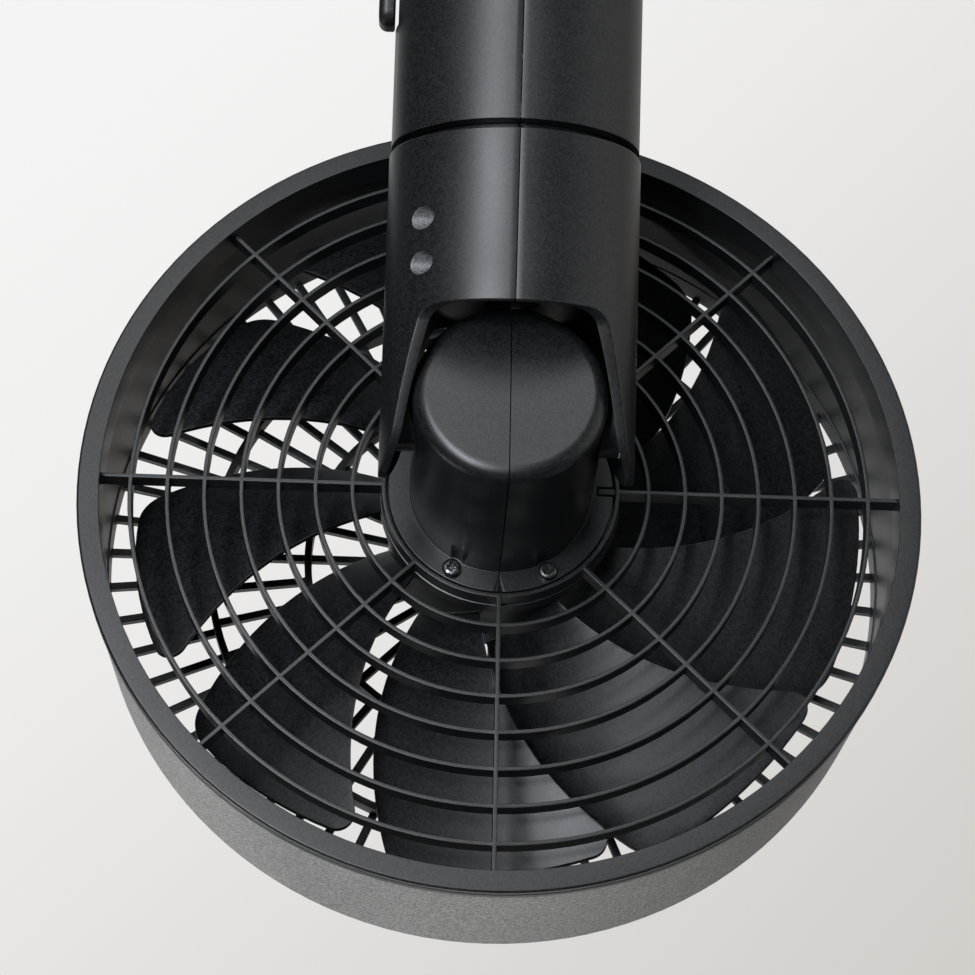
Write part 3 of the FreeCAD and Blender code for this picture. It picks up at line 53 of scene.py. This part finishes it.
# Studio
FLOOR_HEIGHT = -0.75
BOWL_RADIUS = 3.4
BOWL_HEIGHT = 3.6
BOWL_ROUNDING = 1.0
BOWL_ROUNDING_STEPS = 16
BOWL_STEPS = 96
WALL_LIGHT_END = (0.905, 0.905, 0.905)
WALL_DARK_END = (0.570, 0.539, 0.507)
WALL_SLANT = math.radians(45)
WALL_FADE_START = -1.9
WALL_FADE_END = 1.3
WALL_PAINT = (0.20, 0.20, 0.20)
FLOOR_PAINT = (0.80, 0.80, 0.80)
FLOOR_BOUNCE = (0.08, 0.08, 0.08)
FLOOR_GLOW = 0.55
WALL_FOOT = 0.15
GLOSS_WALL_TURN = math.radians(10)
GLOSS_WALL_START = -2.94
GLOSS_WALL_END = -1.7
AIR_COLOUR = (0.80, 0.82, 0.85, 1)
AIR_STRENGTH = 0.05

# Lights: place, aim, width, height, power and colour
TUBE = (0, 0, -0.12)
COOL = (0.90, 0.95, 1.0)
NEUTRAL = (0.95, 0.98, 1.0)
WARM = (1.0, 0.99, 0.97)
LIGHTS = {
    "window_light": ((0.77, 1.80, 0.12), TUBE, 0.58, 1.9, 44, COOL),
    "key_light": ((0.55, 1.80, 0.02), TUBE, 0.22, 0.22, 10, COOL),
    "high_light": ((0.06, 1.40, 1.15), TUBE, 1.1, 0.9, 8.5, NEUTRAL),
    "right_fill": ((-1.75, 0.30, 0.15), TUBE, 2.0, 2.0, 8.5, WARM),
    "left_bounce": ((0.30, -0.15, -0.46), (0.08, -0.06, -0.26), 0.15, 0.15, 0.55, WARM),
    "floor_bounce": ((-0.06, -0.22, -0.73), (-0.06, -0.06, -0.30), 1.2, 0.3, 3.7, WARM),
}

# Moulded edges: their widths in millimetres, and the angles that tell them apart
WELD = 0.002 * MM
FLAT_ANGLE = math.radians(0.6)
SHARP_ANGLE = math.radians(34)
SMOOTH_ANGLE = math.radians(38)
SEAM_REACH = 0.2 * MM
SHARP_HOLLOWS = {"lock_lever"}
EDGE_SEGMENTS = 2
MOULDED_EDGES = {
    "top_cap": 0.5,
    "track_plug": 0.3,
    "housing_shell_left": 0.3,
    "housing_shell_right": 0.3,
    "lock_lever": 0.6,
    "lock_latch": 0.3,
    "yoke_shell_left": 0.4,
    "yoke_shell_right": 0.4,
    "motor_cover_left": 0.25,
    "motor_cover_right": 0.25,
    "rear_grille": 0.22,
    "shroud": 0.3,
    "front_grille": 0.3,
    "front_cap": 0.3,
    "impeller": 0.35,
    "cap_screws": 0.1,
    "yoke_screws": 0.1,
    "cover_screws": 0.1,
}

# Slow drift of a moulding's gloss
GLOSS_DRIFT_SIZE = 60 * MM
GLOSS_DRIFT = 0.06

BODY_OF = {node: body for body, nodes in frame["record"]["behaviour"]["bodies"].items() for node in nodes}
SLOT_OF = {part["node"]: part["material_slot"] for part in frame["record"]["subparts"]}
FAN_SPIN = next(joint for joint in frame["record"]["behaviour"]["joints"] if joint["name"] == "fan_spin")

# Distance from the fan's axis at which the shroud's outer face starts
OUTER_FACE_START = 126.3 * MM
OUTER_FACE_FULL = 126.5 * MM

# The yoke's screw wells, which run along X into its left half; their walls get a painted highlight, a
# lighter tone that stands for the light they catch
X_AXIS = (1, 0, 0)
WELL_RADIUS = 3.2 * MM
WELL_EDGE = 0.1 * MM
WELL_LEFT_HALF = 1 * MM
WELL_PLACES = [(0, side * 25.5 * MM, -drop * MM) for side in (1, -1) for drop in (122.8, 135.8)]


class Finish:
    """A material in the making: its shader and the textures that vary it, all on Object coordinates."""

    def __init__(self, name, roughness, metallic=0.0, specular=0.5):
        self.material = bpy.data.materials.new(name)
        self.material.use_nodes = True
        self.nodes = self.material.node_tree.nodes
        self.links = self.material.node_tree.links
        self.shader = self.nodes["Principled BSDF"]
        self.shader.inputs["Roughness"].default_value = roughness
        self.shader.inputs["Metallic"].default_value = metallic
        self.shader.inputs["Specular IOR Level"].default_value = specular
        self.place = self.nodes.new("ShaderNodeTexCoord").outputs["Object"]

    def stretched(self, stretch):
        mapping = self.nodes.new("ShaderNodeMapping")
        mapping.inputs["Scale"].default_value = stretch
        self.links.new(self.place, mapping.inputs["Vector"])
        return mapping.outputs["Vector"]

    def noise(self, size, detail=2.0, place=None):
        node = self.nodes.new("ShaderNodeTexNoise")
        node.inputs["Scale"].default_value = 1 / size
        node.inputs["Detail"].default_value = detail
        self.links.new(place or self.place, node.inputs["Vector"])
        return node.outputs["Fac"]

    def grains(self, size):
        node = self.nodes.new("ShaderNodeTexVoronoi")
        node.inputs["Scale"].default_value = 1 / size
        self.links.new(self.place, node.inputs["Vector"])
        return node.outputs["Color"]

    def ranged(self, source, source_low, source_high, low, high):
        node = self.nodes.new("ShaderNodeMapRange")
        ends = {"From Min": source_low, "From Max": source_high, "To Min": low, "To Max": high}
        for socket, value in ends.items():
            node.inputs[socket].default_value = value
        self.links.new(source, node.inputs["Value"])
        return node.outputs["Result"]

    def tones(self, factor, first, second):
        node = self.nodes.new("ShaderNodeMix")
        node.data_type = "RGBA"
        node.inputs["A"].default_value = (*first, 1)
        node.inputs["B"].default_value = (*second, 1)
        self.links.new(factor, node.inputs["Factor"])
        return node.outputs["Result"]

    def between(self, factor, first, second):
        node = self.nodes.new("ShaderNodeMix")
        node.data_type = "RGBA"
        self.links.new(first, node.inputs["A"])
        self.links.new(second, node.inputs["B"])
        self.links.new(factor, node.inputs["Factor"])
        return node.outputs["Result"]

    def joined(self, operation, first, second):
        node = self.nodes.new("ShaderNodeMath")
        node.operation = operation
        self.links.new(first, node.inputs[0])
        self.links.new(second, node.inputs[1])
        return node.outputs["Value"]

    def off_axis(self, point, axis):
        """How far a place is from a line through the point."""
        source = self.place
        for operation, value in (("SUBTRACT", point), ("CROSS_PRODUCT", axis)):
            node = self.nodes.new("ShaderNodeVectorMath")
            node.operation = operation
            node.inputs[1].default_value = value
            self.links.new(source, node.inputs[0])
            source = node.outputs["Vector"]
        reach = self.nodes.new("ShaderNodeVectorMath")
        reach.operation = "LENGTH"
        self.links.new(source, reach.inputs[0])
        return reach.outputs["Value"]

    def colour(self, source):
        self.links.new(source, self.shader.inputs["Base Color"])

    def roughness(self, source):
        self.links.new(source, self.shader.inputs["Roughness"])

    def bump(self, height, depth):
        node = self.nodes.new("ShaderNodeBump")
        node.inputs["Distance"].default_value = depth
        self.links.new(height, node.inputs["Height"])
        self.links.new(node.outputs["Normal"], self.shader.inputs["Normal"])


def grained_plastic(name, dark, light, grain, depth, roughness, specular, patch=None):
    """Spark-eroded moulding: a fine sandy grain in tone and height, and a slow drift of gloss.
    A patch is where the tones differ, and its own dark and light tone."""
    finish = Finish(name, roughness, specular=specular)
    drift = finish.noise(GLOSS_DRIFT_SIZE)
    speckle = finish.ranged(finish.grains(grain), 0.25, 0.75, 0, 1)
    colour = finish.tones(speckle, dark, light)
    if patch:
        where, patch_dark, patch_light = patch
        colour = finish.between(where(finish), colour, finish.tones(speckle, patch_dark, patch_light))
    finish.colour(colour)
    finish.roughness(finish.ranged(drift, 0.3, 0.7, roughness - GLOSS_DRIFT, roughness + GLOSS_DRIFT))
    finish.bump(finish.noise(grain), depth)
    return finish.material


def outer_face(finish):
    """The drum's outer face, by its distance from the fan's axis."""
    reach = finish.off_axis(FAN_SPIN["pos_m"], FAN_SPIN["axis"])
    return finish.ranged(reach, OUTER_FACE_START, OUTER_FACE_FULL, 0, 1)


def screw_well_painted_light(finish):
    """The walls of the yoke's screw wells, where the lighter tone is painted light: a painted highlight
    standing for the light that falls into them.
    """
    nearest = finish.off_axis(WELL_PLACES[0], X_AXIS)
    for place in WELL_PLACES[1:]:
        nearest = finish.joined("MINIMUM", nearest, finish.off_axis(place, X_AXIS))
    inside = finish.ranged(nearest, WELL_RADIUS, WELL_RADIUS + WELL_EDGE, 1, 0)
    across = finish.nodes.new("ShaderNodeSeparateXYZ")
    finish.links.new(finish.place, across.inputs["Vector"])
    left_half = finish.ranged(across.outputs["X"], 0, WELL_LEFT_HALF, 0, 1)
    return finish.joined("MULTIPLY", inside, left_half)


def brushed_metal(name, dark, light, roughness, scratch):
    """Turned or rolled metal: fine scratches one way, with cloudy stains that dull the gloss."""
    finish = Finish(name, roughness, metallic=1.0)
    scratches = finish.noise(scratch, detail=4.0, place=finish.stretched((0.2, 1.0, 1.0)))
    stains = finish.noise(5 * MM, detail=3.0)
    finish.colour(finish.tones(finish.ranged(stains, 0.35, 0.68, 0, 1), dark, light))
    finish.roughness(finish.ranged(scratches, 0.3, 0.7, roughness - 0.07, roughness + 0.10))
    finish.bump(scratches, 0.01 * MM)
    return finish.material


def blackened_screw_steel():
    """Oiled black steel, rubbed bright in small patches where a driver has touched it."""
    finish = Finish("blackened_screw_steel", 0.34, metallic=1.0)
    rub = finish.ranged(finish.noise(1.1 * MM, detail=4.0), 0.52, 0.66, 0, 1)
    finish.colour(finish.tones(rub, (0.075, 0.076, 0.080), (0.46, 0.46, 0.47)))
    finish.roughness(finish.ranged(rub, 0, 1, 0.42, 0.24))
    finish.bump(finish.noise(0.3 * MM, detail=3.0), 0.02 * MM)
    return finish.material


def varnished_laminations():
    """Stacked electrical steel under clear varnish, banded by its sheets."""
    finish = Finish("varnished_laminations", 0.45, metallic=0.7)
    sheets = finish.noise(0.5 * MM, detail=1.0, place=finish.stretched((0.05, 1.0, 0.05)))
    finish.colour(finish.tones(sheets, (0.10, 0.09, 0.085), (0.30, 0.28, 0.27)))
    finish.bump(sheets, 0.05 * MM)
    return finish.material


def enamelled_wire():
    """Copper windings, with fine ridges for the wire, darker in the hollows between them and lighter on the
    ridges.
    """
    finish = Finish("enamelled_wire", 0.32, metallic=0.85)
    turns = finish.noise(0.45 * MM, detail=1.0, place=finish.stretched((1.0, 0.12, 1.0)))
    finish.colour(finish.tones(finish.ranged(turns, 0.3, 0.7, 0, 1), (0.20, 0.06, 0.02), (0.72, 0.30, 0.12)))
    finish.bump(turns, 0.12 * MM)
    return finish.material


def ferrite():
    """Sintered magnet: dark, chalky and pitted."""
    finish = Finish("ferrite", 0.78, specular=0.3)
    pits = finish.noise(0.7 * MM, detail=5.0)
    finish.colour(finish.tones(pits, (0.020, 0.019, 0.018), (0.065, 0.062, 0.060)))
    finish.bump(pits, 0.05 * MM)
    return finish.material


def natural_acetal():
    """Undyed bearing plastic, slightly waxy and mottled."""
    finish = Finish("natural_acetal", 0.38)
    mottle = finish.noise(6 * MM, detail=3.0)
    finish.colour(finish.tones(mottle, (0.70, 0.69, 0.65), (0.82, 0.81, 0.78)))
    finish.roughness(finish.ranged(mottle, 0.3, 0.7, 0.33, 0.45))
    finish.bump(finish.noise(0.4 * MM), 0.01 * MM)
    return finish.material


def solder_masked_board():
    """Green board, with the weave of its glass cloth showing through and darker copper runs."""
    finish = Finish("solder_masked_board", 0.36)
    runs = finish.ranged(finish.noise(4 * MM, detail=1.0), 0.49, 0.51, 0, 1)
    weave = finish.noise(0.5 * MM, detail=2.0)
    finish.colour(finish.tones(runs, (0.010, 0.075, 0.030), (0.020, 0.120, 0.050)))
    finish.bump(weave, 0.02 * MM)
    return finish.material


def moulded_component():
    """Epoxy bodies of the small components, sandy and dark."""
    finish = Finish("moulded_component", 0.55)
    sand = finish.noise(0.3 * MM, detail=4.0)
    finish.colour(finish.tones(sand, (0.018, 0.018, 0.019), (0.050, 0.050, 0.052)))
    finish.bump(sand, 0.02 * MM)
    return finish.material


def finishes():
    """The material of each slot of the record."""
    # The black plastic's lighter patch tones in the yoke's screw wells are a painted highlight, standing for
    # the light that falls into the wells.
    black = grained_plastic("grained_black_plastic", (0.0030, 0.0031, 0.0036), (0.0140, 0.0144, 0.0160),
                            0.45 * MM, 0.010 * MM, 0.39, 0.5,
                            (screw_well_painted_light, (0.070, 0.070, 0.072), (0.145, 0.145, 0.150)))
    shroud = grained_plastic("sandy_grey_plastic", (0.0060, 0.0061, 0.0066), (0.0200, 0.0203, 0.0215),
                             0.42 * MM, 0.06 * MM, 0.48, 0.7,
                             (outer_face, (0.064, 0.064, 0.064), (0.280, 0.280, 0.280)))
    blades = grained_plastic("satin_blade_plastic", (0.0015, 0.0016, 0.0024), (0.0130, 0.0136, 0.0160),
                             0.55 * MM, 0.020 * MM, 0.44, 0.36)
    return {
        "black_plastic": black,
        "shroud_plastic": shroud,
        "impeller_plastic": blades,
        "dark_screw": blackened_screw_steel(),
        "steel": brushed_metal("ground_steel", (0.42, 0.42, 0.43), (0.58, 0.58, 0.59), 0.26, 0.25 * MM),
        "sheet_steel": brushed_metal("zinc_plated_sheet", (0.48, 0.49, 0.50), (0.66, 0.67, 0.69), 0.38,
                                     0.5 * MM),
        "aluminium": brushed_metal("cast_aluminium", (0.52, 0.52, 0.53), (0.70, 0.70, 0.71), 0.48, 0.8 * MM),
        "laminations": varnished_laminations(),
        "magnet": ferrite(),
        "winding": enamelled_wire(),
        "contact": brushed_metal("contact_brass", (0.55, 0.36, 0.12), (0.80, 0.58, 0.25), 0.27, 0.3 * MM),
        "bearing_bronze": brushed_metal("oiled_bronze", (0.30, 0.17, 0.07), (0.50, 0.30, 0.13), 0.42,
                                        0.4 * MM),
        "white_plastic": natural_acetal(),
        "board": solder_masked_board(),
        "component": moulded_component(),
    }


FINISHES = finishes()


def placed(mesh, name, body, slot):
    """Puts a finished mesh on a body with its slot's finish."""
    piece = bpy.data.objects.new(name, mesh)
    bpy.context.scene.collection.objects.link(piece)
    mesh.materials.clear()
    mesh.materials.append(FINISHES[slot])
    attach(piece, body)
    return piece


def softened(node, width):
    """The moulded look of a CAD piece: a copy with every sharp edge rounded, which then stands for it.
    Pieces in SHARP_HOLLOWS keep their inner corners, where a rounding runs out to nothing."""
    shape = bmesh.new()
    shape.from_mesh(frame["nodes"][node].data)
    bmesh.ops.remove_doubles(shape, verts=shape.verts, dist=WELD)
    bmesh.ops.dissolve_limit(shape, angle_limit=FLAT_ANGLE, verts=shape.verts, edges=shape.edges)
    sharp = [
        edge for edge in shape.edges
        if edge.is_manifold and edge.calc_face_angle() > SHARP_ANGLE
        and max(abs(end.co.x) for end in edge.verts) > SEAM_REACH
        and (edge.is_convex or node not in SHARP_HOLLOWS)
    ]
    bmesh.ops.bevel(shape, geom=sharp, offset=width, offset_type="OFFSET", segments=EDGE_SEGMENTS,
                    profile=0.5, affect="EDGES", material=-1, clamp_overlap=False, loop_slide=False)
    bmesh.ops.triangulate(shape, faces=[face for face in shape.faces if len(face.verts) > 4])
    mesh = bpy.data.meshes.new(node + "_moulded")
    shape.to_mesh(mesh)
    shape.free()
    mesh.shade_smooth()
    mesh.set_sharp_from_angle(angle=SMOOTH_ANGLE)
    piece = placed(mesh, node + "_moulded", BODY_OF[node], SLOT_OF[node])
    flat_faces = piece.modifiers.new("flat_faces", "WEIGHTED_NORMAL")
    flat_faces.mode = "FACE_AREA_WITH_ANGLE"
    flat_faces.keep_sharp = True
    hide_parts(node)


def studio():
    """A pale round room: a floor that keeps shadows and a wall that shows its own tone."""
    shape = bmesh.new()
    middle = shape.verts.new((0, 0, FLOOR_HEIGHT))
    corner = shape.verts.new((BOWL_RADIUS, 0, FLOOR_HEIGHT))
    top = shape.verts.new((BOWL_RADIUS, 0, BOWL_HEIGHT))
    shape.edges.new((middle, corner))
    shape.edges.new((corner, top))
    bmesh.ops.bevel(shape, geom=[corner], offset=BOWL_ROUNDING, segments=BOWL_ROUNDING_STEPS, profile=0.5,
                    affect="VERTICES", material=-1)
    bmesh.ops.spin(shape, geom=shape.verts[:] + shape.edges[:], axis=(0, 0, 1), cent=(0, 0, 0),
                   angle=math.tau, steps=BOWL_STEPS, use_merge=True)
    bmesh.ops.remove_doubles(shape, verts=shape.verts, dist=WELD)
    bmesh.ops.recalc_face_normals(shape, faces=shape.faces)
    bmesh.ops.reverse_faces(shape, faces=shape.faces)
    mesh = bpy.data.meshes.new("studio_bowl")
    shape.to_mesh(mesh)
    shape.free()
    mesh.shade_smooth()
    bowl = bpy.data.objects.new("studio_bowl", mesh)
    bpy.context.scene.collection.objects.link(bowl)
    bowl.data.materials.append(studio_paint())


def studio_paint():
    """Floor and wall that show the lens a pale tone, which falls off to one side, and throw little light
    back. A gloss sees that tone on the wall that the camera looks at, and the floor keeps its shadows."""
    material = bpy.data.materials.new("studio_paint")
    material.use_nodes = True
    nodes = material.node_tree.nodes
    links = material.node_tree.links
    nodes.remove(nodes["Principled BSDF"])

    def ramp(source, low, high, first=0.0):
        node = nodes.new("ShaderNodeMapRange")
        node.interpolation_type = "SMOOTHSTEP"
        node.inputs["From Min"].default_value = low
        node.inputs["From Max"].default_value = high
        node.inputs["To Min"].default_value = first
        links.new(source, node.inputs["Value"])
        return node.outputs["Result"]

    def joined(operation, first, second):
        node = nodes.new("ShaderNodeMath")
        node.operation = operation
        links.new(first, node.inputs[0])
        links.new(second, node.inputs[1])
        return node.outputs["Value"]

    def tones(factor, first, second):
        node = nodes.new("ShaderNodeMix")
        node.data_type = "RGBA"
        node.inputs["A"].default_value = (*first, 1)
        node.inputs["B"].default_value = (*second, 1)
        links.new(factor, node.inputs["Factor"])
        return node

    place = nodes.new("ShaderNodeTexCoord").outputs["Object"]
    upright = nodes.new("ShaderNodeSeparateXYZ")
    links.new(place, upright.inputs["Vector"])
    turned = nodes.new("ShaderNodeMapping")
    turned.inputs["Rotation"].default_value = (0, WALL_SLANT, 0)
    links.new(place, turned.inputs["Vector"])
    slanted = nodes.new("ShaderNodeSeparateXYZ")
    links.new(turned.outputs["Vector"], slanted.inputs["Vector"])
    wall = ramp(upright.outputs["Z"], FLOOR_HEIGHT, FLOOR_HEIGHT + WALL_FOOT)
    glowing = ramp(upright.outputs["Z"], FLOOR_HEIGHT, FLOOR_HEIGHT + WALL_FOOT, FLOOR_GLOW)
    facing = nodes.new("ShaderNodeMapping")
    facing.inputs["Rotation"].default_value = (0, 0, GLOSS_WALL_TURN)
    links.new(place, facing.inputs["Vector"])
    across = nodes.new("ShaderNodeSeparateXYZ")
    links.new(facing.outputs["Vector"], across.inputs["Vector"])
    behind = ramp(across.outputs["Y"], GLOSS_WALL_END, GLOSS_WALL_START)
    rays = nodes.new("ShaderNodeLightPath")
    mirrored = joined("MAXIMUM", rays.outputs["Is Glossy Ray"], rays.outputs["Is Transmission Ray"])
    seen = joined("MAXIMUM", rays.outputs["Is Camera Ray"], joined("MULTIPLY", mirrored, behind))
    paint = nodes.new("ShaderNodeBsdfDiffuse")
    floor = tones(rays.outputs["Is Camera Ray"], FLOOR_BOUNCE, FLOOR_PAINT)
    both = tones(wall, FLOOR_PAINT, WALL_PAINT)
    links.new(floor.outputs["Result"], both.inputs["A"])
    links.new(both.outputs["Result"], paint.inputs["Color"])
    glow = nodes.new("ShaderNodeEmission")
    fall = ramp(slanted.outputs["X"], WALL_FADE_START, WALL_FADE_END)
    links.new(tones(fall, WALL_DARK_END, WALL_LIGHT_END).outputs["Result"], glow.inputs["Color"])
    mixed = nodes.new("ShaderNodeMixShader")
    links.new(joined("MULTIPLY", seen, glowing), mixed.inputs["Fac"])
    links.new(paint.outputs["BSDF"], mixed.inputs[1])
    links.new(glow.outputs["Emission"], mixed.inputs[2])
    links.new(mixed.outputs["Shader"], nodes["Material Output"].inputs["Surface"])
    return material


def soft_light(name, place, aim, width, height, power, colour):
    """A soft box that faces its aim and isn't itself in the picture."""
    lamp = bpy.data.lights.new(name, "AREA")
    lamp.shape = "RECTANGLE"
    lamp.size = width
    lamp.size_y = height
    lamp.energy = power
    lamp.color = colour
    box = bpy.data.objects.new(name, lamp)
    box.location = place
    box.rotation_euler = (Vector(aim) - Vector(place)).to_track_quat("-Z", "Y").to_euler()
    box.visible_camera = False
    bpy.context.scene.collection.objects.link(box)


def lights():
    """A tall window with a brighter pane to the left of the lens, a soft light high behind it, a fill from
    the right, and two bounces from below."""
    for name, settings in LIGHTS.items():
        soft_light(name, *settings)
    world = bpy.data.worlds.new("studio_air")
    world.use_nodes = True
    world.node_tree.nodes["Background"].inputs["Color"].default_value = AIR_COLOUR
    world.node_tree.nodes["Background"].inputs["Strength"].default_value = AIR_STRENGTH
    bpy.context.scene.world = world


def camera():
    lens = bpy.data.cameras.new("camera")
    lens.lens = CAMERA_LENS
    lens.sensor_width = CAMERA_SENSOR
    lens.sensor_fit = "HORIZONTAL"
    lens.clip_start = CAMERA_NEAREST
    eye = bpy.data.objects.new("camera", lens)
    eye.location = CAMERA_PLACE
    eye.rotation_euler = [math.radians(turn) for turn in CAMERA_TURN]
    bpy.context.scene.collection.objects.link(eye)
    bpy.context.scene.camera = eye


def main():
    bpy.context.scene.view_settings.view_transform = "Standard"
    camera()
    studio()
    lights()
    for node, part in frame["nodes"].items():
        for holder in part.material_slots:
            holder.material = FINISHES[SLOT_OF[node]]
    for node, width in MOULDED_EDGES.items():
        softened(node, width * MM)


main()
